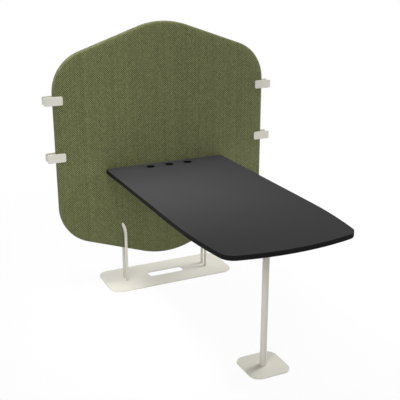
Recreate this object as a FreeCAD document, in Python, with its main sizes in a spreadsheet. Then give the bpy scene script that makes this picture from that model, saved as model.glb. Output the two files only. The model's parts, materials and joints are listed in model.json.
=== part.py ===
import FreeCAD, Part
import math
import os
import re

import Sketcher

# A desk that stands on one leg and on the six-sided padded screen behind it, in millimetres.
# +X runs along the screen, +Z is up and -Y points from the screen to the front of the desk.
# The origin is on the floor, in the middle of the part's width and depth.

sizes = {
    # Screen, before its points and corners are rounded
    "screen_width": 1329.0,
    "screen_height": 1477.0,
    "screen_side": 1014.0,
    "screen_centre_height": 863.0,
    "screen_thickness": 42.0,
    "screen_point_radius": 461.0,
    "screen_corner_radius": 240.0,
    "screen_edge_radius": 13.0,
    # Board inside the screen, and the padding past its edge
    "core_thickness": 16.0,
    "core_margin": 9.0,
    "core_slack": 0.2,
    # Base plate with its slot, and the felt below it
    "base_length": 812.0,
    "base_depth": 330.0,
    "base_thickness": 5.0,
    "base_corner_radius": 70.0,
    "plate_edge_radius": 1.0,
    "slot_length": 230.0,
    "slot_depth": 66.0,
    "slot_corner_radius": 16.0,
    "felt_thickness": 1.0,
    "felt_length": 200.0,
    "felt_depth": 270.0,
    "felt_margin": 30.0,
    # Prongs, their bends into the screen and the lugs at their tips
    "prong_diameter": 18.0,
    "prong_spread": 539.0,
    "prong_sink": 5.0,
    "prong_bend_height": 308.0,
    "prong_bend_radius": 150.0,
    "prong_lean": 18.0,
    "prong_slack": 0.3,
    "prong_screw_length": 25.0,
    "lug_width": 36.0,
    "lug_height": 60.0,
    "lug_thickness": 4.0,
    "lug_drop": 12.0,
    "lug_slack": 0.3,
    # Link plates at the sides of the screen, and the sleeves that tie them together
    "link_length": 106.0,
    "link_height": 50.0,
    "link_thickness": 6.0,
    "link_corner_radius": 9.0,
    "link_upper_height": 1164.0,
    "link_lower_height": 837.0,
    "link_pitch": 54.0,
    "link_blind_depth": 4.5,
    "link_screw_length": 20.0,
    "sleeve_diameter": 12.0,
    "sleeve_slack": 0.2,
    "sleeve_stud_length": 4.2,
    "sleeve_bore_depth": 22.0,
    # Desk top
    "desk_height": 740.0,
    "desk_length": 1514.0,
    "desk_width": 756.0,
    "desk_straight_length": 1025.0,
    "desk_nose_width": 673.0,
    "desk_nose_bow": 45.0,
    "desk_nose_radius": 73.0,
    "desk_back_radius": 12.0,
    "desk_board_thickness": 24.0,
    "desk_laminate_thickness": 1.0,
    "desk_edge_radius": 2.0,
    "laminate_edge_radius": 0.4,
    "desk_gap": 0.5,
    # Cable holes and their liners
    "cable_hole_diameter": 50.0,
    "cable_hole_pitch": 120.0,
    "cable_hole_setback": 62.0,
    "liner_flange_diameter": 56.0,
    "liner_wall": 2.0,
    "liner_slack": 0.1,
    # Angle brackets between the screen and the desk
    "bracket_spread": 520.0,
    "bracket_width": 50.0,
    "bracket_reach": 90.0,
    "bracket_drop": 90.0,
    "bracket_thickness": 5.0,
    "bracket_bend_radius": 6.0,
    "spacer_diameter": 14.0,
    "insert_diameter": 10.0,
    "insert_slack": 0.1,
    # Leg and levelling foot
    "leg_setback": 1231.0,
    "leg_diameter": 33.7,
    "leg_wall": 2.6,
    "leg_flange_diameter": 150.0,
    "leg_flange_thickness": 6.0,
    "leg_hole_circle": 116.0,
    "plug_length": 50.0,
    "plug_slack": 0.05,
    "spindle_diameter": 12.0,
    "spindle_length": 60.0,
    "spindle_slack": 0.05,
    "foot_length": 220.0,
    "foot_thickness": 5.0,
    "foot_corner_radius": 53.0,
    "foot_gap": 0.3,
    "foot_felt_margin": 25.0,
    # Screws and bolts
    "bolt_diameter": 6.0,
    "bolt_hole_slack": 0.3,
    "bolt_tip_spare": 2.0,
    "thread_slack": 0.05,
    "flat_head_diameter": 12.0,
    "flat_head_height": 3.3,
    "round_head_diameter": 11.0,
    "round_head_height": 4.0,
    "wood_screw_diameter": 4.5,
    "wood_head_diameter": 9.0,
    "wood_head_height": 3.0,
    "socket_width": 4.0,
    "socket_depth": 2.0,
    "core_screw_grip": 12.0,
    "desk_screw_grip": 16.0,
    "bore_spare": 1.0,
    "cut_overrun": 1.0,
}

# Places of the two screws on a lug, up it and to one side of its middle, so that the screws of
# the front and rear lugs pass each other in the core
lug_hole_shares = (0.5, 0.82)
lug_hole_side_share = 0.2
# Places of the two holes along each leg of a bracket, and how many screws hold the leg
bracket_hole_shares = (0.42, 0.8)
leg_screw_count = 5
# Sides of the socket that a key turns a screw by
socket_sides = 6

left, right = -1, 1
front, rear = -1, 1
parallel_share = 0.999
tiny = 1e-3

doc = FreeCAD.newDocument("desk_with_screen")
sheet = doc.addObject("Spreadsheet::Sheet", "Sizes")
for row, (alias, number) in enumerate(sizes.items(), start=1):
    sheet.set(f"A{row}", alias)
    sheet.set(f"B{row}", str(number))
    sheet.setAlias(f"B{row}", alias)
doc.recompute()
pieces = []


def cells(expression):
    """Point every size named in an expression at its cell of the sheet."""
    return re.sub(r"[a-z]+(_[a-z]+)+", lambda word: "Sizes." + word.group(0), expression)


def value(expression):
    return float(sheet.evalExpression(cells(expression)))


def bind(thing, field, expression):
    thing.setExpression(field, cells(expression))


# Heights and depths that several pieces share. Depths are counted from the screen's middle.
half_screen = "screen_width / 2"
screen_face = "screen_thickness / 2"
core_face = "core_thickness / 2"
pad_depth = "(screen_thickness - core_thickness) / 2"
base_top = "(felt_thickness + base_thickness)"
foot_top = "(felt_thickness + foot_thickness)"
desk_underside = "(desk_height - desk_laminate_thickness - desk_board_thickness)"
desk_back = "(screen_thickness / 2 + desk_gap)"
leg_place = f"-({desk_back} + leg_setback)"
screen_place = f"({desk_back} + desk_length - base_depth / 2) / 2"

# Radii of the holes that bolts and screws go through, or hold in
bolt_radius = "bolt_diameter / 2"
bolt_hole = "(bolt_diameter / 2 + bolt_hole_slack)"
bolt_thread = "(bolt_diameter / 2 + thread_slack)"
wood_hole = "(wood_screw_diameter / 2 + bolt_hole_slack)"
wood_pilot = "(wood_screw_diameter / 2 + thread_slack)"

# Which way a cylinder, cone or screw runs
turns = {
    "up": FreeCAD.Rotation(),
    "front": FreeCAD.Rotation(FreeCAD.Vector(1, 0, 0), 90),
    "back": FreeCAD.Rotation(FreeCAD.Vector(1, 0, 0), -90),
}


def place(thing, spot, facing="up"):
    """Put a thing at a spot, given as three expressions."""
    thing.Placement = FreeCAD.Placement(FreeCAD.Vector(), turns[facing])
    for axis, expression in zip("xyz", spot):
        bind(thing, f"Placement.Base.{axis}", expression)
    return thing


def shifted(spot, facing, distance):
    """A spot moved along the way that a screw faces."""
    across, deep, high = spot
    if facing == "up":
        return (across, deep, f"{high} + ({distance})")
    sign = "+" if facing == "back" else "-"
    return (across, f"{deep} {sign} ({distance})", high)


def keep(thing, label, spot=("0", "0", "0")):
    """Name a finished piece and seat it, with its depth counted from the screen's middle."""
    thing.Label = label
    across, deep, high = spot
    place(thing, (across, f"{screen_place} + ({deep})", high))
    pieces.append(thing)


def cylinder(radius, height, spot, facing="up"):
    rod = doc.addObject("Part::Cylinder", "cylinder")
    bind(rod, "Radius", radius)
    bind(rod, "Height", height)
    return place(rod, spot, facing)


def cone(start_radius, end_radius, height, spot, facing="up"):
    taper = doc.addObject("Part::Cone", "cone")
    bind(taper, "Radius1", start_radius)
    bind(taper, "Radius2", end_radius)
    bind(taper, "Height", height)
    return place(taper, spot, facing)


def box(length, width, height, spot):
    block = doc.addObject("Part::Box", "box")
    bind(block, "Length", length)
    bind(block, "Width", width)
    bind(block, "Height", height)
    return place(block, spot)


def fuse(shapes):
    joined = doc.addObject("Part::MultiFuse", "joined")
    joined.Shapes = shapes
    return joined


def group(shapes):
    bundle = doc.addObject("Part::Compound", "group")
    bundle.Links = shapes
    return bundle


def cut(base, tools):
    result = doc.addObject("Part::Cut", "cut")
    result.Base = base
    result.Tool = group(tools)
    return result


def new_body(label):
    body = doc.addObject("PartDesign::Body", label)
    body.Label = label + "_blank"
    return body


def sketch_on(body, plane):
    sketch = body.newObject("Sketcher::SketchObject", "outline")
    origin = next(feature for feature in body.Origin.OriginFeatures if feature.Role == plane)
    sketch.AttachmentSupport = [(origin, "")]
    sketch.MapMode = "FlatFace"
    return sketch


def pin(sketch, edge, end, across, up):
    """Tie one end of an edge of a sketch to its place."""
    for kind, axis, expression in (("DistanceX", -2, across), ("DistanceY", -1, up)):
        if expression == "0":
            sketch.addConstraint(Sketcher.Constraint("PointOnObject", edge, end, axis))
        else:
            rule = Sketcher.Constraint(kind, -1, 1, edge, end, value(expression))
            index = sketch.addConstraint(rule)
            bind(sketch, f"Constraints[{index}]", expression)


def outline(body, plane, loops):
    """A sketch of closed loops of straight sides, with each corner at its place."""
    sketch = sketch_on(body, plane)
    for points in loops:
        first = sketch.GeometryCount
        corners = [FreeCAD.Vector(value(across), value(up), 0) for across, up in points]
        for start, end in zip(corners, corners[1:] + corners[:1]):
            sketch.addGeometry(Part.LineSegment(start, end))
        for side, (across, up) in enumerate(points):
            following = first + (side + 1) % len(points)
            sketch.addConstraint(Sketcher.Constraint("Coincident", first + side, 2, following, 1))
            pin(sketch, first + side, 1, across, up)
    return sketch


def rectangle(length, depth):
    along, up = f"{length} / 2", f"{depth} / 2"
    return [("-" + along, "-" + up), (along, "-" + up), (along, up), ("-" + along, up)]


def pad(body, sketch, length, reverse=False):
    slab = body.newObject("PartDesign::Pad", "slab")
    slab.Profile = sketch
    slab.Reversed = reverse
    bind(slab, "Length", length)
    doc.recompute()
    return slab


def edges_where(feature, test):
    edges = enumerate(feature.Shape.Edges, start=1)
    return [f"Edge{index}" for index, edge in edges if test(edge)]


def runs_along(edge, axis):
    straight = edge.Curve.TypeId == "Part::GeomLine"
    return straight and abs(edge.tangentAt(edge.FirstParameter).dot(axis)) > parallel_share


def near(number, expression):
    return abs(number - value(expression)) < tiny


def fillet(body, feature, names, radius):
    rounded = body.newObject("PartDesign::Fillet", "rounded")
    rounded.Base = (feature, names)
    bind(rounded, "Radius", radius)
    doc.recompute()
    return rounded


def socket(spot, facing):
    """The recess for a key in the head of a screw, as a tool."""
    recess = doc.addObject("Part::Prism", "socket")
    recess.Polygon = socket_sides
    bind(recess, "Circumradius", "socket_width / sqrt(3)")
    bind(recess, "Height", "socket_depth")
    return place(recess, spot, facing)


def flat_screw(length, spot, facing):
    """A countersunk screw whose head is flush at its spot."""
    head = ("flat_head_diameter / 2", bolt_radius, "flat_head_height")
    screw = fuse([cylinder(bolt_radius, length, spot, facing), cone(*head, spot, facing)])
    return cut(screw, [socket(spot, facing)])


def flat_screw_hole(length, spot, facing):
    """The hole for a countersunk screw, as two tools."""
    sink = ("(flat_head_diameter / 2 + bolt_hole_slack)", bolt_hole, "flat_head_height")
    return [cylinder(bolt_hole, length, spot, facing), cone(*sink, spot, facing)]


def headed_screw(radius, head_radius, head_height, length, spot, facing):
    """A screw whose head lies on the face at its spot, with its shank past that face."""
    opposite = shifted(spot, facing, f"-{head_height}")
    head = cylinder(head_radius, head_height, opposite, facing)
    screw = fuse([cylinder(radius, length, spot, facing), head])
    return cut(screw, [socket(opposite, facing)])


def wood_screw(length, spot, facing):
    shank = "wood_screw_diameter / 2"
    return headed_screw(shank, "wood_head_diameter / 2", "wood_head_height", length, spot, facing)


# The screen's outline: six corners, drawn in by an inset, from the top point clockwise
def six_corners(inset):
    rise = "(screen_height - screen_side) / 2"
    edge = f"({half_screen} - {inset})"
    point = f"(screen_height / 2 - {inset} * hypot({half_screen}; {rise}) / ({half_screen}))"
    corner = f"({point} - {rise} / ({half_screen}) * {edge})"
    above = "screen_centre_height + "
    below = "screen_centre_height - "
    return [
        ("0", above + point),
        (edge, above + corner),
        (edge, below + corner),
        ("0", below + point),
        ("-" + edge, below + corner),
        ("-" + edge, above + corner),
    ]


def six_sided(label, inset, thickness, backwards=False):
    """A six-sided slab with rounded points and corners, from the screen's middle outwards."""
    deep = FreeCAD.Vector(0, 1, 0)
    body = new_body(label)
    slab = pad(body, outline(body, "XZ_Plane", [six_corners(inset)]), thickness, backwards)
    points = edges_where(slab, lambda e: runs_along(e, deep) and near(e.CenterOfMass.x, "0"))
    slab = fillet(body, slab, points, f"screen_point_radius - {inset}")
    edge = f"{half_screen} - {inset}"
    corners = edges_where(slab, lambda e: runs_along(e, deep) and near(abs(e.CenterOfMass.x), edge))
    fillet(body, slab, corners, f"screen_corner_radius - {inset}")
    return body


def make_core():
    core = six_sided("core", "(core_margin + core_slack)", "core_thickness")
    place(core, ("0", core_face, "0"))
    tools = []
    for across, high in sleeve_places():
        tools.append(through_screen("(sleeve_diameter / 2 + sleeve_slack)", across, high))
    for across, high in bracket_bolt_places():
        tools.append(through_screen("(insert_diameter / 2 + insert_slack)", across, high))
    for side, face in sides_and_faces():
        for (across, _, high), facing in lug_screw_spots(side, face):
            pilot = (across, f"{face} * {core_face}", high)
            tools.append(cylinder(wood_pilot, "core_screw_grip + bore_spare", pilot, facing))
    keep(cut(core, tools), "screen_core")


def make_padding(face, label):
    """Half of the padding: a slab with a soft edge, hollow for the core and what goes into it."""
    body = six_sided(label, "0", screen_face, face == rear)
    outer = f"{face} * {screen_face}"
    rim = edges_where(body.Tip, lambda e: lies_across(e, "Y", outer))
    fillet(body, body.Tip, rim, "screen_edge_radius")
    hollow = six_sided(label + "_hollow", "core_margin", "core_thickness")
    place(hollow, ("0", core_face, "0"))
    tools = [hollow]
    for across, high in sleeve_places():
        tools.append(through_screen("(sleeve_diameter / 2 + sleeve_slack)", across, high))
    if face == front:
        for across, high in bracket_bolt_places():
            tools.append(through_screen("(spacer_diameter / 2 + sleeve_slack)", across, high))
    for side in (left, right):
        tools.append(prong_stem("prong_diameter / 2 + prong_slack", side, face))
        tools.append(prong_bend("prong_diameter / 2 + prong_slack", side, face))
        tools.append(lug_block(side, face, "(lug_thickness + wood_head_height + lug_slack)", "lug_slack"))
    keep(cut(body, tools), label)


def through_screen(radius, across, high):
    """A tool that cuts a hole straight through the screen."""
    start = (across, f"-({screen_face} + cut_overrun)", high)
    return cylinder(radius, "screen_thickness + 2 * cut_overrun", start, "back")


def sides_and_faces():
    return [(side, face) for face in (front, rear) for side in (left, right)]


# Prongs stand partly sunk in the padding, and their tips bend sideways and into it, as far as the core
prong_depth = "(screen_thickness / 2 + prong_diameter / 2 - prong_sink)"
prong_reach = f"({prong_depth} - core_thickness / 2 - lug_thickness / 2)"
prong_swing = f"hypot(prong_lean; {prong_reach})"
prong_turn = f"acos(1 - {prong_swing} / prong_bend_radius)"
prong_tip_height = f"(prong_bend_height + prong_bend_radius * sin({prong_turn}))"


def prong_spot(side, face, high):
    return (f"{side} * prong_spread / 2", f"{face} * {prong_depth}", high)


def prong_tip_across(side):
    return f"{side} * (prong_spread / 2 + prong_lean)"


def prong_stem(radius, side, face):
    return cylinder(radius, f"prong_bend_height - {base_top}", prong_spot(side, face, base_top))


def prong_bend(radius, side, face):
    """The arc at the top of a prong, a part of a ring that stands upright."""
    arc = doc.addObject("Part::Torus", "bend")
    bind(arc, "Radius1", "prong_bend_radius")
    bind(arc, "Radius2", radius)
    bind(arc, "Angle3", prong_turn)
    across, deep, high = prong_spot(side, face, "prong_bend_height")
    sideways = f"{side} * prong_bend_radius * prong_lean / {prong_swing}"
    inwards = f"{face} * prong_bend_radius * {prong_reach} / {prong_swing}"
    place(arc, (f"{across} + {sideways}", f"{deep} - {inwards}", high))
    outwards = FreeCAD.Vector(-side * value("prong_lean"), face * value(prong_reach), 0).normalize()
    up = FreeCAD.Vector(0, 0, 1)
    arc.Placement.Rotation = FreeCAD.Rotation(outwards, up, outwards.cross(up), "XYZ")
    return arc


def lug_block(side, face, depth, slack):
    """A block that lies on the core around a prong's tip."""
    across = f"{prong_tip_across(side)} - lug_width / 2 - {slack}"
    deep = f"{core_face}" if face == rear else f"-{core_face} - {depth}"
    high = f"{prong_tip_height} - lug_drop - {slack}"
    return box(f"lug_width + 2 * {slack}", depth, f"lug_height + 2 * {slack}", (across, deep, high))


def lug_screw_spots(side, face):
    """Where the screws of a lug meet its outer face, and which way they run."""
    facing = "front" if face == rear else "back"
    deep = f"{face} * ({core_face} + lug_thickness)"
    across = f"{prong_tip_across(side)} + {face} * lug_width * {lug_hole_side_share}"
    heights = [f"{prong_tip_height} - lug_drop + lug_height * {share}" for share in lug_hole_shares]
    return [((across, deep, high), facing) for high in heights]


def make_prong(side, face, label):
    """A rod with a bent tip, welded to a lug and cut flat where it meets the core."""
    stem = prong_stem("prong_diameter / 2", side, face)
    bend = prong_bend("prong_diameter / 2", side, face)
    lug = lug_block(side, face, "lug_thickness", "0")
    core_corner = (f"{prong_tip_across(side)} - lug_width / 2", f"-{core_face}", "prong_bend_height")
    core_side = box("lug_width", "core_thickness", "prong_bend_radius", core_corner)
    foot = prong_spot(side, face, base_top)
    thread = cylinder(bolt_thread, "prong_screw_length - base_thickness + bore_spare", foot)
    tools = [core_side, thread]
    for spot, facing in lug_screw_spots(side, face):
        tools.append(cylinder(wood_hole, "lug_thickness", spot, facing))
    keep(cut(fuse([stem, bend, lug]), tools), label)


def make_prongs():
    names = {(left, front): "front_left", (right, front): "front_right"}
    names.update({(left, rear): "rear_left", (right, rear): "rear_right"})
    for (side, face), name in names.items():
        make_prong(side, face, "prong_" + name)
    base_screws = []
    lug_screws = []
    for side, face in sides_and_faces():
        base_screws.append(flat_screw("prong_screw_length", prong_spot(side, face, "felt_thickness"), "up"))
        for spot, facing in lug_screw_spots(side, face):
            lug_screws.append(wood_screw("lug_thickness + core_screw_grip", spot, facing))
    keep(group(base_screws), "prong_base_screws")
    keep(group(lug_screws), "prong_lug_screws")


def rounded_plate(label, loops, thickness, radii):
    """A flat plate with a radius for the corners of each of its loops, and with its upper edges eased."""
    body = new_body(label)
    slab = pad(body, outline(body, "XY_Plane", loops), thickness)
    for points, radius in zip(loops, radii):
        reach = abs(value(points[0][0]))
        corners = edges_where(slab, lambda e: stands_at(e, reach))
        slab = fillet(body, slab, corners, radius)
    rim = edges_where(slab, lambda e: lies_across(e, "Z", thickness))
    fillet(body, slab, rim, "plate_edge_radius")
    return body


def stands_at(edge, across):
    upright = runs_along(edge, FreeCAD.Vector(0, 0, 1))
    return upright and abs(abs(edge.CenterOfMass.x) - across) < tiny


def make_base():
    loops = [rectangle("base_length", "base_depth"), rectangle("slot_length", "slot_depth")]
    radii = ("base_corner_radius", "slot_corner_radius")
    plate = rounded_plate("base", loops, "base_thickness", radii)
    tools = []
    for side, face in sides_and_faces():
        tools += flat_screw_hole("base_thickness", prong_spot(side, face, "0"), "up")
    keep(cut(plate, tools), "base_plate", ("0", "0", "felt_thickness"))
    for side, name in ((left, "left"), (right, "right")):
        middle = f"{side} * (base_length - felt_length - 2 * felt_margin) / 2"
        felt = box("felt_length", "felt_depth", "felt_thickness", ("0", "0", "0"))
        keep(felt, "base_felt_" + name, (f"{middle} - felt_length / 2", "-felt_depth / 2", "0"))


# Link plates lie on both faces of the screen, half of their length past its side edge
link_heights = {"upper": "link_upper_height", "lower": "link_lower_height"}


def sleeve_places():
    reach = f"({half_screen} - link_pitch / 2)"
    return [(f"{side} * {reach}", high) for side in (left, right) for high in link_heights.values()]


def make_link_plate(face, label, spot):
    """An eased plate with two holes: countersunk in a rear plate, blind and threaded in a front one."""
    body = new_body(label)
    loop = rectangle("link_length", "link_height")
    slab = pad(body, outline(body, "XZ_Plane", [loop]), "link_thickness", face == rear)
    corners = edges_where(slab, lambda e: runs_along(e, FreeCAD.Vector(0, 1, 0)))
    slab = fillet(body, slab, corners, "link_corner_radius")
    rim = edges_where(slab, lambda e: lies_across(e, "Y", f"{face} * link_thickness"))
    fillet(body, slab, rim, "plate_edge_radius")
    tools = []
    for side in (left, right):
        across = f"{side} * link_pitch / 2"
        if face == rear:
            tools += flat_screw_hole("link_thickness", (across, "link_thickness", "0"), "front")
        else:
            tools.append(cylinder(bolt_thread, "link_blind_depth", (across, "0", "0"), "front"))
    keep(cut(body, tools), label, spot)


def make_links():
    for face, face_name in ((front, "front"), (rear, "rear")):
        for side, side_name in ((left, "left"), (right, "right")):
            for level, high in link_heights.items():
                spot = (f"{side} * {half_screen}", f"{face} * {screen_face}", high)
                make_link_plate(face, f"link_plate_{face_name}_{level}_{side_name}", spot)
    sleeves = []
    screws = []
    for across, high in sleeve_places():
        near_end = (across, f"-{screen_face}", high)
        far_end = (across, screen_face, high)
        tube = cylinder("sleeve_diameter / 2", "screen_thickness", near_end, "back")
        stud = cylinder(bolt_radius, "sleeve_stud_length", near_end, "front")
        bore = cylinder(bolt_thread, "sleeve_bore_depth", far_end, "front")
        sleeves.append(cut(fuse([tube, stud]), [bore]))
        outside = (across, f"{screen_face} + link_thickness", high)
        screws.append(flat_screw("link_screw_length", outside, "front"))
    keep(group(sleeves), "link_sleeves")
    keep(group(screws), "link_screws")


def arc_about(across, up, radius, start, end):
    centre = FreeCAD.Vector(across, up, 0)
    return Part.ArcOfCircle(Part.Circle(centre, FreeCAD.Vector(0, 0, 1), radius), start, end)


def desk_outline(body):
    """Straight sides that turn in on tangent arcs to a bowed front edge."""
    wide = "desk_width / 2"
    narrow = "desk_nose_width / 2"
    back = f"-{desk_back}"
    bend = f"-({desk_back} + desk_straight_length)"
    nose = f"-({desk_back} + desk_length - desk_nose_bow)"
    drop = f"({wide} - {narrow})"
    run = "(desk_length - desk_nose_bow - desk_straight_length)"
    side_radius = f"({run} ^ 2 + {drop} ^ 2) / (2 * {drop})"
    bow_radius = f"(({narrow}) ^ 2 + desk_nose_bow ^ 2) / (2 * desk_nose_bow)"
    side_turn = 2 * math.atan(value(f"{drop} / {run}"))
    bow_turn = 2 * math.atan(value(f"desk_nose_bow / ({narrow})"))
    side_middle = value(f"{wide} - {side_radius}")
    bow_middle = value(f"{bow_radius} - {desk_back} - desk_length")
    down = -math.pi / 2

    sketch = sketch_on(body, "XY_Plane")
    corner = [FreeCAD.Vector(side * value(wide), value(back), 0) for side in (left, right)]
    turn = [FreeCAD.Vector(side * value(wide), value(bend), 0) for side in (left, right)]
    sketch.addGeometry(Part.LineSegment(corner[0], corner[1]))
    sketch.addGeometry(Part.LineSegment(corner[1], turn[1]))
    sketch.addGeometry(arc_about(side_middle, value(bend), value(side_radius), -side_turn, 0))
    sketch.addGeometry(arc_about(0, bow_middle, value(bow_radius), down - bow_turn, down + bow_turn))
    sketch.addGeometry(
        arc_about(-side_middle, value(bend), value(side_radius), math.pi, math.pi + side_turn)
    )
    sketch.addGeometry(Part.LineSegment(turn[0], corner[0]))
    meetings = ((0, 2, 1, 1), (1, 2, 2, 2), (2, 1, 3, 2), (3, 1, 4, 2), (4, 1, 5, 1), (5, 2, 0, 1))
    for meeting in meetings:
        sketch.addConstraint(Sketcher.Constraint("Coincident", *meeting))
    pin(sketch, 0, 1, "-" + wide, back)
    pin(sketch, 0, 2, wide, back)
    pin(sketch, 1, 2, wide, bend)
    pin(sketch, 2, 1, narrow, nose)
    pin(sketch, 3, 1, "-" + narrow, nose)
    pin(sketch, 5, 1, "-" + wide, bend)
    for edge, radius in ((2, side_radius), (3, bow_radius), (4, side_radius)):
        index = sketch.addConstraint(Sketcher.Constraint("Radius", edge, value(radius)))
        bind(sketch, f"Constraints[{index}]", radius)
    return sketch


def desk_slab(label, thickness):
    body = new_body(label)
    slab = pad(body, desk_outline(body), thickness)
    up = FreeCAD.Vector(0, 0, 1)
    nose = f"-({desk_back} + desk_length - desk_nose_bow)"
    fronts = edges_where(slab, lambda e: runs_along(e, up) and near(e.CenterOfMass.y, nose))
    slab = fillet(body, slab, fronts, "desk_nose_radius")
    backs = edges_where(slab, lambda e: runs_along(e, up) and near(e.CenterOfMass.y, f"-{desk_back}"))
    fillet(body, slab, backs, "desk_back_radius")
    return body


def lies_across(edge, axis, expression):
    """Whether an edge lies all in the plane across an axis at a place along it."""
    ends = (getattr(edge.BoundBox, axis + "Min"), getattr(edge.BoundBox, axis + "Max"))
    return all(near(end, expression) for end in ends)


def cable_spot(step, high):
    return (f"{step} * cable_hole_pitch", f"-({desk_back} + cable_hole_setback)", high)


def cable_cutters(diameter, thickness):
    radius = f"({diameter} / 2 + liner_slack)"
    length = f"{thickness} + 2 * cut_overrun"
    return [cylinder(radius, length, cable_spot(step, "-cut_overrun")) for step in (-1, 0, 1)]


def make_desk():
    board = desk_slab("board", "desk_board_thickness")
    rim = edges_where(board.Tip, lambda e: lies_across(e, "Z", "0"))
    fillet(board, board.Tip, rim, "desk_edge_radius")
    tools = cable_cutters("cable_hole_diameter", "desk_board_thickness")
    for across, deep in bracket_screw_places() + leg_screw_places():
        tools.append(cylinder(wood_pilot, "desk_screw_grip + bore_spare", (across, deep, "0")))
    keep(cut(board, tools), "desk_board", ("0", "0", desk_underside))
    laminate = desk_slab("laminate", "desk_laminate_thickness")
    top_rim = edges_where(laminate.Tip, lambda e: lies_across(e, "Z", "desk_laminate_thickness"))
    fillet(laminate, laminate.Tip, top_rim, "laminate_edge_radius")
    laminate_cutters = cable_cutters("liner_flange_diameter", "desk_laminate_thickness")
    under_laminate = "desk_height - desk_laminate_thickness"
    keep(cut(laminate, laminate_cutters), "desk_laminate", ("0", "0", under_laminate))
    # Each liner lines its hole in the board, and its flange fills its larger hole in the laminate
    for step, name in ((-1, "left"), (0, "middle"), (1, "right")):
        tube = cylinder("cable_hole_diameter / 2", "desk_board_thickness", ("0", "0", "0"))
        seat = ("0", "0", "desk_board_thickness")
        flange = cylinder("liner_flange_diameter / 2", "desk_laminate_thickness", seat)
        bore_length = "desk_board_thickness + desk_laminate_thickness + 2 * cut_overrun"
        bore = cylinder("cable_hole_diameter / 2 - liner_wall", bore_length, ("0", "0", "-cut_overrun"))
        keep(cut(fuse([tube, flange]), [bore]), "cable_liner_" + name, cable_spot(step, desk_underside))


def bracket_across(side):
    return f"{side} * bracket_spread / 2"


def bracket_screw_places():
    return [
        (bracket_across(side), f"-({screen_face} + bracket_reach * {share})")
        for side in (left, right)
        for share in bracket_hole_shares
    ]


def bracket_bolt_places():
    return [
        (bracket_across(side), f"({desk_underside} - bracket_drop * {share})")
        for side in (left, right)
        for share in bracket_hole_shares
    ]


def make_bracket(side, label):
    """A bent strip with one leg under the desk and one on the screen."""
    inner = "-bracket_thickness"
    corners = [
        ("0", "0"),
        ("-bracket_reach", "0"),
        ("-bracket_reach", inner),
        (inner, inner),
        (inner, "-bracket_drop"),
        ("0", "-bracket_drop"),
    ]
    along = FreeCAD.Vector(1, 0, 0)
    body = new_body(label)
    slab = pad(body, outline(body, "YZ_Plane", [corners]), "bracket_width")
    inside = edges_where(slab, lambda e: runs_along(e, along) and corner_at(e, inner))
    slab = fillet(body, slab, inside, "bracket_bend_radius")
    outside = edges_where(slab, lambda e: runs_along(e, along) and corner_at(e, "0"))
    fillet(body, slab, outside, "bracket_bend_radius + bracket_thickness")
    tools = []
    for share in bracket_hole_shares:
        under = ("bracket_width / 2", f"-bracket_reach * {share}", inner)
        tools.append(cylinder(wood_hole, "bracket_thickness", under))
        behind = ("bracket_width / 2", "0", f"-bracket_drop * {share}")
        tools.append(cylinder(bolt_hole, "bracket_thickness", behind, "front"))
    spot = (f"{bracket_across(side)} - bracket_width / 2", f"-{screen_face}", desk_underside)
    keep(cut(body, tools), label, spot)


def corner_at(edge, expression):
    return near(edge.CenterOfMass.y, expression) and near(edge.CenterOfMass.z, expression)


def make_brackets():
    make_bracket(left, "desk_bracket_left")
    make_bracket(right, "desk_bracket_right")
    screws = []
    for across, deep in bracket_screw_places():
        start = (across, deep, f"{desk_underside} - bracket_thickness")
        screws.append(wood_screw("bracket_thickness + desk_screw_grip", start, "up"))
    bolts = []
    spacers = []
    inserts = []
    length = f"bracket_thickness + {pad_depth} + core_thickness - bolt_tip_spare"
    head = ("round_head_diameter / 2", "round_head_height")
    for across, high in bracket_bolt_places():
        outside = (across, f"-({screen_face} + bracket_thickness)", high)
        bolts.append(headed_screw(bolt_radius, *head, length, outside, "back"))
        on_pad = (across, f"-{screen_face}", high)
        tube = cylinder("spacer_diameter / 2", pad_depth, on_pad, "back")
        spacers.append(cut(tube, [cylinder(bolt_hole, pad_depth, on_pad, "back")]))
        on_core = (across, f"-{core_face}", high)
        bush = cylinder("insert_diameter / 2", "core_thickness", on_core, "back")
        inserts.append(cut(bush, [cylinder(bolt_thread, "core_thickness", on_core, "back")]))
    keep(group(screws), "bracket_screws")
    keep(group(bolts), "bracket_bolts")
    keep(group(spacers), "bracket_spacers")
    keep(group(inserts), "core_inserts")


def leg_screw_places():
    """Screws on a circle round the leg, the first one towards the screen."""
    places = []
    for index in range(leg_screw_count):
        turn = 2 * math.pi * index / leg_screw_count
        across = f"{math.sin(turn):.9f} * leg_hole_circle / 2"
        deep = f"{leg_place} + {math.cos(turn):.9f} * leg_hole_circle / 2"
        places.append((across, deep))
    return places


def make_leg():
    flange_under = f"({desk_underside} - leg_flange_thickness)"
    disc = cylinder("leg_flange_diameter / 2", "leg_flange_thickness", ("0", leg_place, flange_under))
    tools = []
    screws = []
    for across, deep in leg_screw_places():
        start = (across, deep, flange_under)
        tools.append(cylinder(wood_hole, "leg_flange_thickness", start))
        screws.append(wood_screw("leg_flange_thickness + desk_screw_grip", start, "up"))
    keep(cut(disc, tools), "leg_flange")
    keep(group(screws), "leg_flange_screws")
    tube_foot = f"({foot_top} + foot_gap)"
    tube_length = f"{flange_under} - {tube_foot}"
    inner_radius = "(leg_diameter / 2 - leg_wall)"
    spot = ("0", leg_place, tube_foot)
    tube = cylinder("leg_diameter / 2", tube_length, spot)
    keep(cut(tube, [cylinder(inner_radius, tube_length, spot)]), "leg_tube")
    plug = cylinder(f"{inner_radius} - plug_slack", "plug_length", spot)
    thread = cylinder("spindle_diameter / 2 + spindle_slack", "plug_length", spot)
    keep(cut(plug, [thread]), "leg_plug")


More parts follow.
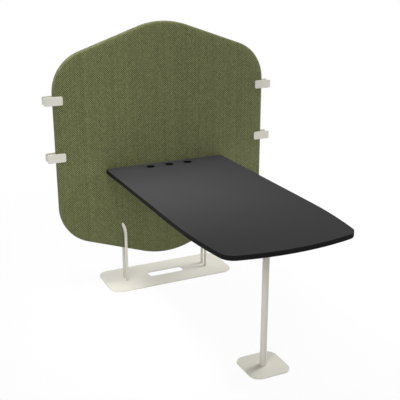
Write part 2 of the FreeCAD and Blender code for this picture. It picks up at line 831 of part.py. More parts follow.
def make_foot():
    spot = ("0", leg_place, "felt_thickness")
    loops = [rectangle("foot_length", "foot_length")]
    plate = rounded_plate("foot", loops, "foot_thickness", ("foot_corner_radius",))
    centre = ("0", "0", "0")
    seat = cylinder("spindle_diameter / 2 + spindle_slack", "foot_thickness", centre)
    keep(cut(plate, [seat]), "foot_plate", spot)
    keep(cylinder("spindle_diameter / 2", "spindle_length", centre), "foot_spindle", spot)
    side = "foot_length - 2 * foot_felt_margin"
    felt = box(side, side, "felt_thickness", centre)
    keep(felt, "foot_felt", (f"-({side}) / 2", f"{leg_place} - ({side}) / 2", "0"))


def write_pieces():
    """Stop at the first failed object or bad shape, then write every piece."""
    doc.recompute()
    for thing in doc.Objects:
        if {"Invalid", "Error"} & set(thing.State):
            raise RuntimeError(f"{thing.Name} of {thing.Label} did not build: {thing.State}")
    for piece in pieces:
        if piece.Shape.isNull() or not piece.Shape.isValid():
            raise RuntimeError(f"{piece.Label} has no valid shape")
    os.makedirs("parts", exist_ok=True)
    for piece in pieces:
        piece.Shape.exportStep(f"parts/{piece.Label}.step")
        print(f"{piece.Label}: {len(piece.Shape.Solids)} solids, {piece.Shape.Volume:.0f} mm3")


make_core()
make_padding(front, "screen_pad_front")
make_padding(rear, "screen_pad_rear")
make_prongs()
make_base()
make_links()
make_desk()
make_brackets()
make_leg()
make_foot()
write_pieces()
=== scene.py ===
import json
import math

import bpy
import numpy as np
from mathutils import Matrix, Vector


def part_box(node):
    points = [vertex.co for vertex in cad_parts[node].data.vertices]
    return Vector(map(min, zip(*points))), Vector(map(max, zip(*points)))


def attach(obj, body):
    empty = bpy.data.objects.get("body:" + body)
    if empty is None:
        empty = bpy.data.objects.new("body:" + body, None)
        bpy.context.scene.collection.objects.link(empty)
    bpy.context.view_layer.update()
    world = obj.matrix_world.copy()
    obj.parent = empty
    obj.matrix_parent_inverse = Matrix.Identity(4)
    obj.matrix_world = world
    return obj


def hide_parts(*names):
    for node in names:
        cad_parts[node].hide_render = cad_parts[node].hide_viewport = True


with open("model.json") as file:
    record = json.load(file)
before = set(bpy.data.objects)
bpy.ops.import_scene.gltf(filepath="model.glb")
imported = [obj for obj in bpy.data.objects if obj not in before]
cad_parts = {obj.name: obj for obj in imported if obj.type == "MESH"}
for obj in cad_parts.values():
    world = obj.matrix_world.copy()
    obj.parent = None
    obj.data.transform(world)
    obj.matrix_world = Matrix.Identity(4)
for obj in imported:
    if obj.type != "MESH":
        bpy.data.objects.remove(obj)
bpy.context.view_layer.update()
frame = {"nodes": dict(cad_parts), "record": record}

nodes = frame["nodes"]
scene = bpy.context.scene
print("frame loaded:", len(nodes), "nodes")


# Small tools for meshes

# Quads of a grid, row by row: corners at (row, col), (row, col + 1), (row + 1, col + 1), (row + 1, col)
def gridQuads(rows, cols, closeCols=False):
    row = np.arange(rows - 1)[:, None]
    col = np.arange(cols if closeCols else cols - 1)[None, :]
    nextCol = (col + 1) % cols
    quads = [row * cols + col, row * cols + nextCol, (row + 1) * cols + nextCol, (row + 1) * cols + col]
    return np.stack(np.broadcast_arrays(*quads), -1).reshape(-1, 4)


# An object at the origin, with its place in its points
def addPiece(name, points, faces, smooth=True):
    mesh = bpy.data.meshes.new(name)
    mesh.from_pydata(np.asarray(points).tolist(), [], [list(map(int, face)) for face in faces])
    mesh.polygons.foreach_set("use_smooth", np.full(len(mesh.polygons), smooth))
    mesh.update()
    piece = bpy.data.objects.new(name, mesh)
    scene.collection.objects.link(piece)
    return piece


# A mesh's points, one row of x, y and z each
def meshPoints(mesh):
    flat = np.empty(len(mesh.vertices) * 3)
    mesh.vertices.foreach_get("co", flat)
    return flat.reshape(-1, 3)


# A flat place for each point, kept as the piece's UV map in metres
def addFlatMap(piece, flatPoints, name):
    mesh = piece.data
    corner = np.empty(len(mesh.loops), int)
    mesh.loops.foreach_get("vertex_index", corner)
    layer = mesh.uv_layers.new(name=name)
    layer.data.foreach_set("uv", flatPoints[corner].ravel())


# Small tools for shaders

# A socket takes either another socket or a plain value
def feed(tree, socket, source):
    if isinstance(source, bpy.types.NodeSocket):
        tree.links.new(source, socket)
    else:
        socket.default_value = source


# One step of arithmetic on sockets or plain values
def calc(tree, operation, *sources):
    node = tree.nodes.new("ShaderNodeMath")
    node.operation = operation
    for socket, source in zip(node.inputs, sources):
        feed(tree, socket, source)
    return node.outputs[0]


# A value carried from 0..1 to a new low and high
def spread(tree, source, low, high):
    return calc(tree, "MULTIPLY_ADD", source, high - low, low)


# A place or a colour times a value
def scaled(tree, vector, factor):
    node = tree.nodes.new("ShaderNodeVectorMath")
    node.operation = "SCALE"
    feed(tree, node.inputs[0], vector)
    feed(tree, node.inputs["Scale"], factor)
    return node.outputs[0]


# Smooth noise from 0 to 1, with one bump for each unit of the place
def noise(tree, vector, detail, roughness=0.5):
    node = tree.nodes.new("ShaderNodeTexNoise")
    node.inputs["Scale"].default_value = 1.0
    node.inputs["Detail"].default_value = detail
    node.inputs["Roughness"].default_value = roughness
    feed(tree, node.inputs["Vector"], vector)
    return node.outputs["Fac"]


# The first colour at factor 0 and the second at 1
def mixColor(tree, factor, first, second):
    node = tree.nodes.new("ShaderNodeMix")
    node.data_type = "RGBA"
    feed(tree, node.inputs["Factor"], factor)
    feed(tree, node.inputs["A"], first)
    feed(tree, node.inputs["B"], second)
    return node.outputs["Result"]


# A normal that leans with the slope of a height
def bump(tree, height, strength, distance):
    node = tree.nodes.new("ShaderNodeBump")
    node.inputs["Strength"].default_value = strength
    node.inputs["Distance"].default_value = distance
    feed(tree, node.inputs["Height"], height)
    return node.outputs["Normal"]


# An empty shader group with its named sockets
def newGroup(name, inputs, outputs):
    group = bpy.data.node_groups.new(name, "ShaderNodeTree")
    for label, (kind, start) in inputs.items():
        socket = group.interface.new_socket(label, in_out="INPUT", socket_type=kind)
        if start is not None:
            socket.default_value = start
    for label in outputs:
        group.interface.new_socket(label, in_out="OUTPUT", socket_type="NodeSocketFloat")
    entry = group.nodes.new("NodeGroupInput")
    leave = group.nodes.new("NodeGroupOutput")
    return group, entry.outputs, leave.inputs


# A group placed in a material, with what its sockets take
def useGroup(tree, group, **sources):
    node = tree.nodes.new("ShaderNodeGroup")
    node.node_tree = group
    for label, source in sources.items():
        feed(tree, node.inputs[label], source)
    return node.outputs


# A fresh material: itself, its nodes, its shader's sockets and the place on the piece
def newMaterial(name, coordinates="Object"):
    material = bpy.data.materials.new(name)
    material.use_nodes = True
    tree = material.node_tree
    where = tree.nodes.new("ShaderNodeTexCoord").outputs[coordinates]
    return material, tree, tree.nodes["Principled BSDF"].inputs, where


grainShape = {
    "heightDetail": 2.0,
    "cloudDetail": 4.0,
    "cloudRoughness": 0.6,
    "speckScale": 0.37,  # specks lie wider apart than the fine bumps
    "speckDetail": 1.0,
    "speckFrom": 0.72,  # noise above this is a speck
}


# Surface grain: fine bumps of one size, clouds of another and rare specks, each from 0 to 1
def makeGrainGroup(shape):
    inputs = {
        "Place": ("NodeSocketVector", None),
        "Grains": ("NodeSocketFloat", 1000.0),
        "Clouds": ("NodeSocketFloat", 8.0),
    }
    group, given, made = newGroup("surfaceGrain", inputs, ["Height", "Cloud", "Speck"])
    fine = scaled(group, given["Place"], given["Grains"])
    broad = scaled(group, given["Place"], given["Clouds"])
    feed(group, made["Height"], noise(group, fine, shape["heightDetail"]))
    feed(group, made["Cloud"], noise(group, broad, shape["cloudDetail"], shape["cloudRoughness"]))
    sparse = noise(group, scaled(group, fine, shape["speckScale"]), shape["speckDetail"])
    feed(group, made["Speck"], calc(group, "GREATER_THAN", sparse, shape["speckFrom"]))
    return group


weaveShape = {
    "wanderScale": 23.0,
    "wanderDetail": 1.0,
    "wander": 0.12,  # how far a yarn strays, in pitches
    "endHeight": 0.5,  # height of a yarn at the ends of its float
    "columnSeed": 3.0,
    "lineSeed": 7.0,
    "floatSeed": 11.0,
    "fibreSlant": 5.0,
    "fibreDetail": 2.0,
}


# Plain weave on a flat map: yarn number = floor(place / pitch), the lengthwise yarn is on top where both
# numbers add up to an even one, and each yarn is a half round that dives at the ends of its float
def makeWeaveGroup(shape):
    inputs = {"Place": ("NodeSocketVector", None), "Pitch": ("NodeSocketFloat", 0.005)}
    outputs = ["Lengthwise", "Height", "Yarn", "Float", "Fibre"]
    group, given, made = newGroup("plainWeave", inputs, outputs)
    split = group.nodes.new("ShaderNodeSeparateXYZ")
    feed(group, split.inputs[0], given["Place"])
    # a slow wander keeps the yarns from being ruled lines
    drift = noise(group, scaled(group, given["Place"], shape["wanderScale"]), shape["wanderDetail"])
    wander = spread(group, drift, -shape["wander"], shape["wander"])
    across = calc(group, "ADD", calc(group, "DIVIDE", split.outputs[0], given["Pitch"]), wander)
    along = calc(group, "ADD", calc(group, "DIVIDE", split.outputs[1], given["Pitch"]), wander)
    column = calc(group, "FLOOR", across)
    line = calc(group, "FLOOR", along)
    parity = calc(group, "PINGPONG", calc(group, "ADD", column, line), 1.0)
    top = calc(group, "LESS_THAN", parity, 0.5)

    # height over a yarn's width, sqrt(1 - side^2) with side from -1 to 1
    def halfRound(number):
        side = calc(group, "MULTIPLY_ADD", calc(group, "FRACT", number), 2.0, -1.0)
        return calc(group, "SQRT", calc(group, "SUBTRACT", 1.0, calc(group, "MULTIPLY", side, side)))

    # height along a float, a half wave from its ends to its middle
    def dive(number):
        wave = calc(group, "SINE", calc(group, "MULTIPLY", calc(group, "FRACT", number), math.pi))
        return spread(group, wave, shape["endHeight"], 1.0)

    # the first value where the lengthwise yarn is on top, and else the second
    def pick(first, second):
        node = group.nodes.new("ShaderNodeMix")
        feed(group, node.inputs["Factor"], top)
        feed(group, node.inputs["A"], second)
        feed(group, node.inputs["B"], first)
        return node.outputs["Result"]

    # a fixed chance value for whole numbers
    def chance(*numbers):
        spot = group.nodes.new("ShaderNodeCombineXYZ")
        for socket, number in zip(spot.inputs, numbers):
            feed(group, socket, number)
        node = group.nodes.new("ShaderNodeTexWhiteNoise")
        feed(group, node.inputs["Vector"], spot.outputs[0])
        return node.outputs["Value"]

    lengthwise = calc(group, "MULTIPLY", halfRound(across), dive(along))
    crosswise = calc(group, "MULTIPLY", halfRound(along), dive(across))
    feed(group, made["Lengthwise"], top)
    feed(group, made["Height"], pick(lengthwise, crosswise))
    ofColumn = chance(column, shape["columnSeed"])
    ofLine = chance(line, shape["lineSeed"])
    feed(group, made["Yarn"], pick(ofColumn, ofLine))
    feed(group, made["Float"], chance(column, line, shape["floatSeed"]))
    # fibres lie on a slant in a yarn
    slant = group.nodes.new("ShaderNodeCombineXYZ")
    crossing = calc(group, "ADD", across, along)
    feed(group, slant.inputs[0], calc(group, "MULTIPLY", crossing, shape["fibreSlant"]))
    feed(group, slant.inputs[1], calc(group, "SUBTRACT", across, along))
    feed(group, made["Fibre"], noise(group, slant.outputs[0], shape["fibreDetail"]))
    return group


grainGroup = makeGrainGroup(grainShape)
weaveGroup = makeWeaveGroup(weaveShape)
print("shared effects made")

# Finishes, one function and one dictionary each

fabricLook = {
    "lengthwise": (0.218, 0.232, 0.0937, 1.0),
    "crosswise": (0.0347, 0.0417, 0.0091, 1.0),
    "pitch": 0.0060,
    "yarnTone": (0.90, 1.10),
    "floatTone": (0.80, 1.20),
    # painted shade: the colour goes down to half in the low valleys between the yarns
    "paintedValleyShade": (0.50, 1.08),
    "cloudTone": (0.93, 1.07),
    "fibreTone": (0.8, 1.2),
    "clouds": 22.0,
    "roughness": (0.86, 0.98),
    "fibreHeight": 0.18,  # as a share of a yarn's height
    "bumpStrength": 0.55,
    "bumpDistance": 0.0016,
    "specular": 0.2,
    "sheen": 0.12,
    "sheenRoughness": 0.6,
}


# Woven cloth: the yarn on top gives the colour, times the tones of yarn, float, cloud and fibre, and times
# a painted shade that darkens the valleys where the yarns dip
def makeFabric(look):
    material, tree, shader, where = newMaterial("olive_fabric", "UV")
    weave = useGroup(tree, weaveGroup, Place=where, Pitch=look["pitch"])
    color = mixColor(tree, weave["Lengthwise"], look["crosswise"], look["lengthwise"])
    cloud = useGroup(tree, grainGroup, Place=where, Clouds=look["clouds"])
    tone = spread(tree, weave["Yarn"], *look["yarnTone"])
    shades = [
        (weave["Float"], look["floatTone"]),
        # the weave's height darkens the colour as painted shade in the valleys between the yarns
        (weave["Height"], look["paintedValleyShade"]),
        (cloud["Cloud"], look["cloudTone"]),
        (weave["Fibre"], look["fibreTone"]),
    ]
    for value, ends in shades:
        tone = calc(tree, "MULTIPLY", tone, spread(tree, value, *ends))
    feed(tree, shader["Base Color"], scaled(tree, color, tone))
    feed(tree, shader["Roughness"], spread(tree, weave["Fibre"], *look["roughness"]))
    height = calc(tree, "MULTIPLY_ADD", weave["Fibre"], look["fibreHeight"], weave["Height"])
    feed(tree, shader["Normal"], bump(tree, height, look["bumpStrength"], look["bumpDistance"]))
    shader["Specular IOR Level"].default_value = look["specular"]
    shader["Sheen Weight"].default_value = look["sheen"]
    shader["Sheen Roughness"].default_value = look["sheenRoughness"]
    return material


# A finish with grain: a colour that clouds and specks vary, and fine bumps
def makeGrained(name, look):
    material, tree, shader, where = newMaterial(name)
    grain = useGroup(tree, grainGroup, Place=where, Grains=look["grains"], Clouds=look["clouds"])
    tone = spread(tree, grain["Cloud"], *look["cloudTone"])
    tone = calc(tree, "MULTIPLY", tone, spread(tree, grain["Height"], *look["grainTone"]))
    tone = calc(tree, "MULTIPLY_ADD", grain["Speck"], look["speckTone"], tone)
    feed(tree, shader["Base Color"], scaled(tree, look["color"], tone))
    rough = spread(tree, grain["Cloud"], *look["roughness"])
    rough = calc(tree, "MULTIPLY_ADD", grain["Height"], look["grainRough"], rough)
    feed(tree, shader["Roughness"], rough)
    slopes = bump(tree, grain["Height"], look["bumpStrength"], look["bumpDistance"])
    feed(tree, shader["Normal"], slopes)
    shader["Specular IOR Level"].default_value = look["specular"]
    shader["Metallic"].default_value = look["metallic"]
    return material


paintLook = {
    "color": (0.613, 0.592, 0.524), "grains": 900.0, "clouds": 7.0, "cloudTone": (0.97, 1.03),
    "grainTone": (0.985, 1.015), "speckTone": -0.015, "roughness": (0.42, 0.52), "grainRough": 0.06,
    "bumpStrength": 0.12, "bumpDistance": 0.0004, "specular": 0.45, "metallic": 0.0,
}
laminateLook = {
    "color": (0.0328, 0.0328, 0.0332), "grains": 1500.0, "clouds": 5.0, "cloudTone": (0.92, 1.08),
    "grainTone": (0.85, 1.15), "speckTone": 0.10, "roughness": (0.66, 0.74), "grainRough": 0.08,
    "bumpStrength": 0.10, "bumpDistance": 0.0003, "specular": 0.01, "metallic": 0.0,
}
edgeLook = {
    "color": (0.008, 0.008, 0.008), "grains": 1100.0, "clouds": 30.0, "cloudTone": (0.85, 1.15),
    "grainTone": (0.75, 1.25), "speckTone": 0.25, "roughness": (0.62, 0.76), "grainRough": 0.10,
    "bumpStrength": 0.30, "bumpDistance": 0.0004, "specular": 0.06, "metallic": 0.0,
}
linerLook = {
    "color": (0.003, 0.003, 0.003), "grains": 1800.0, "clouds": 60.0, "cloudTone": (0.9, 1.1),
    "grainTone": (0.9, 1.1), "speckTone": 0.0, "roughness": (0.52, 0.60), "grainRough": 0.08,
    "bumpStrength": 0.20, "bumpDistance": 0.0002, "specular": 0.05, "metallic": 0.0,
}
zincLook = {
    "color": (0.55, 0.56, 0.57), "grains": 1400.0, "clouds": 90.0, "cloudTone": (0.85, 1.1),
    "grainTone": (0.94, 1.06), "speckTone": -0.05, "roughness": (0.28, 0.42), "grainRough": 0.10,
    "bumpStrength": 0.10, "bumpDistance": 0.0002, "specular": 0.5, "metallic": 1.0,
}
feltLook = {
    "color": (0.16, 0.16, 0.15), "grains": 700.0, "clouds": 90.0, "cloudTone": (0.8, 1.2),
    "grainTone": (0.6, 1.4), "speckTone": 0.15, "roughness": (0.92, 0.98), "grainRough": 0.02,
    "bumpStrength": 0.8, "bumpDistance": 0.001, "specular": 0.1, "metallic": 0.0,
}

plyLook = {
    "light": (0.52, 0.38, 0.22, 1.0),
    "dark": (0.34, 0.22, 0.12, 1.0),
    "ply": 0.0032,
    "stretch": (3.0, 300.0, 60.0),
    "grainDetail": 5.0,
    "grainRoughness": 0.65,
    "roughness": (0.6, 0.8),
    "bumpStrength": 0.2,
    "bumpDistance": 0.0005,
}


# Plywood: plies alternate through the board's thickness, long grain lies along each, and the colour goes
# by the mean of the two
def makePlywood(look):
    material, tree, shader, where = newMaterial("core_plywood")
    split = tree.nodes.new("ShaderNodeSeparateXYZ")
    feed(tree, split.inputs[0], where)
    layer = calc(tree, "PINGPONG", calc(tree, "DIVIDE", split.outputs[1], look["ply"]), 1.0)
    stretch = tree.nodes.new("ShaderNodeMapping")
    stretch.inputs["Scale"].default_value = look["stretch"]
    feed(tree, stretch.inputs["Vector"], where)
    grain = noise(tree, stretch.outputs[0], look["grainDetail"], look["grainRoughness"])
    mask = calc(tree, "MULTIPLY", calc(tree, "ADD", layer, grain), 0.5)
    feed(tree, shader["Base Color"], mixColor(tree, mask, look["light"], look["dark"]))
    feed(tree, shader["Roughness"], spread(tree, grain, *look["roughness"]))
    feed(tree, shader["Normal"], bump(tree, grain, look["bumpStrength"], look["bumpDistance"]))
    return material


finishes = {
    "screen_fabric": makeFabric(fabricLook),
    "core_board": makePlywood(plyLook),
    "frame_paint": makeGrained("beige_powder_coat", paintLook),
    "felt": makeGrained("pressed_felt", feltLook),
    "desk_edge": makeGrained("black_fibreboard", edgeLook),
    "desk_laminate": makeGrained("matt_laminate", laminateLook),
    "liner_plastic": makeGrained("black_moulding", linerLook),
    "zinc_steel": makeGrained("zinc_plate", zincLook),
}
for part in frame["record"]["subparts"]:
    mesh = nodes[part["node"]].data
    mesh.materials.clear()
    mesh.materials.append(finishes[part["material_slot"]])
print("finishes made:", len(finishes))

# The screen's cover: one closed skin over both pads, sewn together along the middle of the edge

cover = {
    "side": 1.014,  # a straight side, from corner to corner
    "height": 1.477,  # from point to point
    "pointRadius": 0.461,
    "cornerRadius": 0.240,
    "edgeRadius": 0.013,
    "ease": 0.0002,  # the skin starts this far inside the padding
    "cornerSteps": 26,
    "slopeSteps": 34,
    "pointSteps": 26,
    "sideSteps": 104,
    "edgeSteps": 5,
    "seamDepth": 0.0014,
    "seamWidth": 0.0030,
    "bandPlaces": (-1.0, -0.72, -0.44, -0.2, 0.0, 0.2, 0.44, 0.72, 1.0),  # shares of half the band
    "heldMargin": 0.004,
    "quality": 5,
    "mass": 0.25,
    "stretch": 25.0,
    "shear": 15.0,
    "bending": 2.0,
    "pressure": 4.0,
    "frames": 20,
    "swell": 0.0030,  # the most that the cloth may swell
    "rodRadius": 0.009,
    "rodBend": 0.308,  # a rod leans outwards from this height on, by rodLean over rodRise
    "rodRise": 0.080,
    "rodLean": 0.018,
    "rodTop": 0.375,
    "rodValley": 0.0030,
    "rodWidth": 0.016,
}
padLow, padHigh = map(np.array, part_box("screen_pad_front"))
rearHigh = np.array(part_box("screen_pad_rear")[1])
screenMiddle = np.array([(padLow[0] + padHigh[0]) / 2, padHigh[1], (padLow[2] + padHigh[2]) / 2])
halfWidth = (padHigh[0] - padLow[0]) / 2 - cover["ease"]
halfDepth = (rearHigh[1] - padLow[1]) / 2 - cover["ease"]


# Points of an arc: centre + radius * (cos, sin) of each turn
def arc(across, up, radius, turn):
    return np.stack([across + radius * np.cos(turn), up + radius * np.sin(turn)], -1)


# Upper outline of the screen from left to right, drawn in by an inset. The slopes fall by
# (height - side) / width, an arc of (point radius - inset) rounds the point, and one of
# (corner radius - inset) leads into each upright side
def upperOutline(inset):
    slope = math.atan2((cover["height"] - cover["side"]) / 2, halfWidth)
    edge = halfWidth - inset
    peak = cover["height"] / 2 - cover["ease"] - inset / math.cos(slope)
    pointRadius = cover["pointRadius"] - inset
    cornerRadius = cover["cornerRadius"] - inset
    pointCentre = peak - pointRadius / math.cos(slope)
    cornerAcross = edge - cornerRadius
    cornerCentre = peak - math.tan(slope) * cornerAcross - cornerRadius / math.cos(slope)
    turn = np.linspace(0, math.pi / 2 - slope, cover["cornerSteps"])
    corner = arc(cornerAcross, cornerCentre, cornerRadius, turn)
    turn = np.linspace(math.pi / 2 - slope, math.pi / 2, cover["pointSteps"] // 2 + 1)
    point = arc(0.0, pointCentre, pointRadius, turn)
    share = np.linspace(0, 1, cover["slopeSteps"] + 1)[1:-1, None]
    right = np.concatenate([corner, corner[-1] + share * (point[0] - corner[-1]), point])
    left = right[:-1] * (-1, 1)
    return np.concatenate([left, right[::-1]])


# The whole outline, clockwise from the upper left: the upper half, the right side down, the lower half
# back as the mirror image of the upper one, and the left side up
def wholeOutline(inset):
    upper = upperOutline(inset)
    fall = np.linspace(1, -1, cover["sideSteps"])[1:-1, None]
    rightSide = upper[-1] * np.concatenate([np.ones_like(fall), fall], 1)
    leftSide = upper[0] * np.concatenate([np.ones_like(fall), -fall], 1)
    return np.concatenate([upper, rightSide, (upper * (1, -1))[::-1], leftSide])


# A flat face inside the edge: place = (across of the column, share of the row * half height of the column)
def faceGrid(inset):
    upper = upperOutline(inset)
    share = np.linspace(1, -1, cover["sideSteps"])[:, None]
    across = np.broadcast_to(upper[None, :, 0], (cover["sideSteps"], len(upper)))
    return np.stack([across, share * upper[None, :, 1]], -1)


# Rings round the edge, from one face to the other: a quarter round, a flat band with a sewn valley along
# its middle, and a quarter round. A ring is (inset, depth, run of cloth from the nearer face)
def edgeRings():
    radius = cover["edgeRadius"]
    bandHalf = halfDepth - radius
    turn = np.linspace(0, math.pi / 2, cover["edgeSteps"] + 1)[1:-1]
    depth = np.array(cover["bandPlaces"]) * bandHalf
    valley = cover["seamDepth"] * np.exp(-((depth / cover["seamWidth"]) ** 2))
    drawn = radius * (1 - np.sin(turn))
    beyond = bandHalf + radius * np.cos(turn)
    inset = np.concatenate([drawn, valley, drawn[::-1]])
    places = np.concatenate([-beyond, depth, beyond[::-1]])
    bandRun = radius * math.pi / 2 + bandHalf - np.abs(depth)
    run = np.concatenate([radius * turn, bandRun, radius * turn[::-1]])
    return inset, places, run


# Front face, edge rings and rear face as one closed skin. A ring's flat place is the face's rim plus the
# run of cloth outwards, so the weave goes on round the edge
def buildCover():
    radius = cover["edgeRadius"]
    face = faceGrid(radius)
    rows, cols = face.shape[:2]
    flatFace = face.reshape(-1, 2)
    rim = np.concatenate([
        np.arange(cols),
        np.arange(1, rows - 1) * cols + cols - 1,
        rows * cols - 1 - np.arange(cols),
        np.arange(rows - 2, 0, -1) * cols,
    ])
    inset, places, run = edgeRings()
    outward = (wholeOutline(0.0) - wholeOutline(radius)) / radius
    ringFlat = wholeOutline(radius)[None] + run[:, None, None] * outward[None]
    ringPlace = np.stack([wholeOutline(one) for one in inset])
    rimCount = len(rim)
    faceCount = len(flatFace)
    ringCount = len(places) * rimCount
    rearStart = faceCount + ringCount

    # a flat place stood upright at a depth from the screen's middle
    def raised(flat, depth):
        deep = np.broadcast_to(depth, flat.shape[:-1])
        return np.stack([flat[..., 0], deep, flat[..., 1]], -1).reshape(-1, 3) + screenMiddle

    points = np.concatenate([
        raised(flatFace, -halfDepth),
        raised(ringPlace, places[:, None]),
        raised(flatFace, halfDepth),
    ])
    rings = faceCount + np.arange(ringCount).reshape(-1, rimCount)
    lines = np.concatenate([rim[None], rings, rim[None] + rearStart])
    bandQuads = lines.ravel()[gridQuads(len(lines), rimCount, True)]
    faceQuads = gridQuads(rows, cols)
    quads = np.concatenate([faceQuads[:, ::-1], bandQuads, faceQuads + rearStart])
    piece = addPiece("screen_cover", points, quads)
    addFlatMap(piece, np.concatenate([flatFace, ringFlat.reshape(-1, 2), flatFace]), "cloth")
    onEdge = np.zeros(len(points), bool)
    onEdge[lines.ravel()] = True
    return piece, onEdge


rodNames = ("prong_front_", "prong_rear_")


# -1 for a node in front of the screen and 1 for one behind it
def sideOf(name):
    return 1 if "_rear_" in name else -1


# Which points lie on that side of the screen's middle
def onSide(points, side):
    return (points[:, 1] - screenMiddle[1]) * side > 0


# Points under a plate, bracket, rod or the desk's edge, which keep the cloth down
def heldPoints(points):
    touching = ["desk_board", "desk_laminate", "desk_bracket_left", "desk_bracket_right"]
    touching += [name for name in nodes if name.startswith(("link_plate_", *rodNames))]
    held = np.zeros(len(points), bool)
    margin = cover["heldMargin"]
    for name in touching:
        low, high = map(np.array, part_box(name))
        inside = (points > low - margin) & (points < high + margin)
        held |= onSide(points, sideOf(name)) & inside[:, 0] & inside[:, 2]
    return held


# Pressure swells the cloth between what holds it. A point that moved by d ends up moved by
# d * cap / sqrt(cap^2 + d^2), so none goes past the cap
def swellCover(piece, held):
    mesh = piece.data
    start = meshPoints(mesh)
    group = piece.vertex_groups.new(name="held")
    group.add(np.flatnonzero(held).tolist(), 1.0, "REPLACE")
    cloth = piece.modifiers.new("cloth", "CLOTH")
    settings = cloth.settings
    settings.quality = cover["quality"]
    settings.mass = cover["mass"]
    settings.tension_stiffness = cover["stretch"]
    settings.compression_stiffness = cover["stretch"]
    settings.shear_stiffness = cover["shear"]
    settings.bending_stiffness = cover["bending"]
    settings.use_pressure = True
    settings.uniform_pressure_force = cover["pressure"]
    settings.vertex_group_mass = "held"
    settings.effector_weights.gravity = 0.0
    cloth.collision_settings.use_collision = False
    cloth.point_cache.frame_start = 1
    cloth.point_cache.frame_end = cover["frames"]
    for step in range(1, cover["frames"] + 1):
        scene.frame_set(step)
    solved = piece.evaluated_get(bpy.context.evaluated_depsgraph_get())
    moved = meshPoints(solved.data) - start
    piece.modifiers.remove(cloth)
    piece.vertex_groups.clear()
    scene.frame_set(1)
    size = np.linalg.norm(moved, axis=1, keepdims=True)
    cap = cover["swell"]
    print("cover swelled, largest move in metres before the cap:", round(size.max(), 5))
    mesh.vertices.foreach_set("co", (start + moved * cap / np.sqrt(cap**2 + size**2)).ravel())
    mesh.update()


# Beside a sunk rod the cloth is drawn in by depth * exp(-(distance to the rod / width)^2), and the rod
# leans outwards by lean * ((height - bend) / rise)^2
def drawInCover(piece):
    points = meshPoints(piece.data)
    rise = np.clip((points[:, 2] - cover["rodBend"]) / cover["rodRise"], 0.0, 1.0)
    above = np.maximum(points[:, 2] - cover["rodTop"], 0.0)
    for name in (name for name in nodes if name.startswith(rodNames)):
        low, high = map(np.array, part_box(name))
        side = sideOf(name)
        inner = low[0] if low[0] > 0 else high[0]  # the stem stands at the rod's inner side
        stem = inner + math.copysign(cover["rodRadius"], inner)
        beside = points[:, 0] - stem - math.copysign(cover["rodLean"], inner) * rise**2
        sink = cover["rodValley"] * np.exp(-((beside**2 + above**2) / cover["rodWidth"] ** 2))
        points[:, 1] -= side * np.where(onSide(points, side), sink, 0.0)
    piece.data.vertices.foreach_set("co", points.ravel())
    piece.data.update()


screenCover, coverEdge = buildCover()
coverHeld = coverEdge | heldPoints(meshPoints(screenCover.data))
swellCover(screenCover, coverHeld)
drawInCover(screenCover)
screenCover.data.materials.append(finishes["screen_fabric"])
smoothing = screenCover.modifiers.new("smoothing", "SUBSURF")
smoothing.levels = 1
smoothing.render_levels = 1
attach(screenCover, "stand")
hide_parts("screen_pad_front", "screen_pad_rear")
print("screen cover built:", len(screenCover.data.vertices), "points")

# Studio: a pale floor that the white beyond it shows through, and that still takes a soft shadow, an even
# sky, soft lamps round the desk and two narrow ones above it. A foot that is let down past the floor shows
# through it too

studio = {
    "floorReach": 60.0,
    "floorColor": (0.80, 0.80, 0.80, 1.0),
    "clearNear": 0.90,  # how clear the floor is to the camera, near the desk and far from it
    "clearFar": 1.0,
    "clearRange": (1.6, 3.2),
    "sky": 0.31,
    "lamps": {
        "over": {"place": (-0.7, 0.56, 2.7), "aim": (-0.3, 0.3, 0.74), "size": 0.5, "power": 23.4},
        "deskMiddle": {
            "place": (-0.25, 0.15, 2.3), "aim": (-0.15, 0.15, 0.74),
            "size": 0.5, "power": 1.5, "spread": 70.0,  # degrees of a narrow lamp's cone
        },
        "deskLeft": {
            "place": (-0.8, 0.1, 2.2), "aim": (-0.3, 0.15, 0.74),
            "size": 0.5, "power": 2.4, "spread": 60.0,
        },
        "left": {"place": (-3.4, -3.8, 3.2), "aim": (0.0, 0.2, 0.5), "size": 2.6, "power": 130.0},
        "right": {"place": (4.4, 0.3, 2.4), "aim": (0.0, 0.4, 0.3), "size": 2.6, "power": 175.0},
        "farRight": {"place": (4.2, 1.3, 2.2), "aim": (0.0, 0.4, 0.2), "size": 2.6, "power": 124.0},
        "back": {"place": (-0.4, 4.8, 1.6), "aim": (0.0, 0.7, 0.9), "size": 2.6, "power": 32.0},
    },
}


# What the camera, mirrors and glass see: 1 on a ray of one of those kinds
def seenDirectly(tree):
    path = tree.nodes.new("ShaderNodeLightPath").outputs
    seen = calc(tree, "MAXIMUM", path["Is Camera Ray"], path["Is Glossy Ray"])
    return calc(tree, "MAXIMUM", seen, path["Is Transmission Ray"])


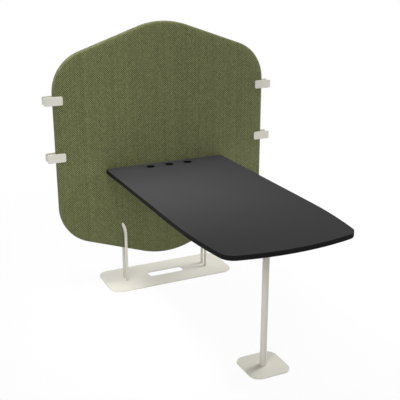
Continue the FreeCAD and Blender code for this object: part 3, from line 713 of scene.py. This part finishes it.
# A flat floor, clear by a share to what sees it directly, and clear to the lamps' shadow rays
def makeFloor():
    reach = studio["floorReach"]
    corners = [(-reach, -reach, 0.0), (reach, -reach, 0.0), (reach, reach, 0.0), (-reach, reach, 0.0)]
    floor = addPiece("studio_floor", corners, [(0, 1, 2, 3)], False)
    material = bpy.data.materials.new("white_floor")
    material.use_nodes = True
    tree = material.node_tree
    tree.nodes.clear()
    plain = tree.nodes.new("ShaderNodeBsdfDiffuse")
    plain.inputs["Color"].default_value = studio["floorColor"]
    clear = tree.nodes.new("ShaderNodeBsdfTransparent")
    # the floor gets clearer smoothly with the distance from the middle, and lamps light what is below it
    away = tree.nodes.new("ShaderNodeVectorMath")
    away.operation = "LENGTH"
    feed(tree, away.inputs[0], tree.nodes.new("ShaderNodeTexCoord").outputs["Object"])
    fade = tree.nodes.new("ShaderNodeMapRange")
    fade.interpolation_type = "SMOOTHSTEP"
    feed(tree, fade.inputs["Value"], away.outputs["Value"])
    ends = (*studio["clearRange"], studio["clearNear"], studio["clearFar"])
    for label, end in zip(("From Min", "From Max", "To Min", "To Max"), ends):
        fade.inputs[label].default_value = end
    share = calc(tree, "MULTIPLY", seenDirectly(tree), fade.outputs["Result"])
    shadow = tree.nodes.new("ShaderNodeLightPath").outputs["Is Shadow Ray"]
    blend = tree.nodes.new("ShaderNodeMixShader")
    feed(tree, blend.inputs[0], calc(tree, "MAXIMUM", share, shadow))
    feed(tree, blend.inputs[1], plain.outputs[0])
    feed(tree, blend.inputs[2], clear.outputs[0])
    output = tree.nodes.new("ShaderNodeOutputMaterial")
    feed(tree, output.inputs["Surface"], blend.outputs[0])
    floor.data.materials.append(material)


# An even sky at its own strength on the object, and at 1, which is white, where it is seen
def makeSky():
    world = bpy.data.worlds.new("studio_sky")
    world.use_nodes = True
    scene.world = world
    tree = world.node_tree
    background = tree.nodes["Background"]
    background.inputs["Color"].default_value = (1.0, 1.0, 1.0, 1.0)
    feed(tree, background.inputs["Strength"], spread(tree, seenDirectly(tree), studio["sky"], 1.0))


# A round lamp, turned to look from its place at its aim, with a narrow cone if it has a spread
def makeLamp(name, lamp):
    light = bpy.data.lights.new(name, "AREA")
    light.shape = "DISK"
    light.size = lamp["size"]
    light.energy = lamp["power"]
    if "spread" in lamp:
        light.spread = math.radians(lamp["spread"])
    thing = bpy.data.objects.new(name, light)
    place = np.array(lamp["place"])
    thing.location = place
    away = place - np.array(lamp["aim"])
    turn = math.atan2(away[1], away[0]) + math.pi / 2
    thing.rotation_euler = (math.acos(away[2] / np.linalg.norm(away)), 0.0, turn)
    scene.collection.objects.link(thing)


makeFloor()
makeSky()
for name, lamp in studio["lamps"].items():
    makeLamp(name, lamp)
print("studio lit")

# Camera at the photograph's place

view = {
    "place": (-1.6738, -4.0690, 1.9699),  # from the floor below the screen's middle
    "down": math.radians(18.645),
    "right": math.radians(25.23),
    "lens": 67.24,
    "sensor": 36.0,
}
lens = bpy.data.cameras.new("camera")
lens.lens = view["lens"]
lens.sensor_width = view["sensor"]
camera = bpy.data.objects.new("camera", lens)
camera.location = np.array(view["place"]) + (0.0, screenMiddle[1], 0.0)
camera.rotation_euler = (math.pi / 2 - view["down"], 0.0, -view["right"])
scene.collection.objects.link(camera)
scene.camera = camera
scene.view_settings.view_transform = "Standard"
print("camera set")
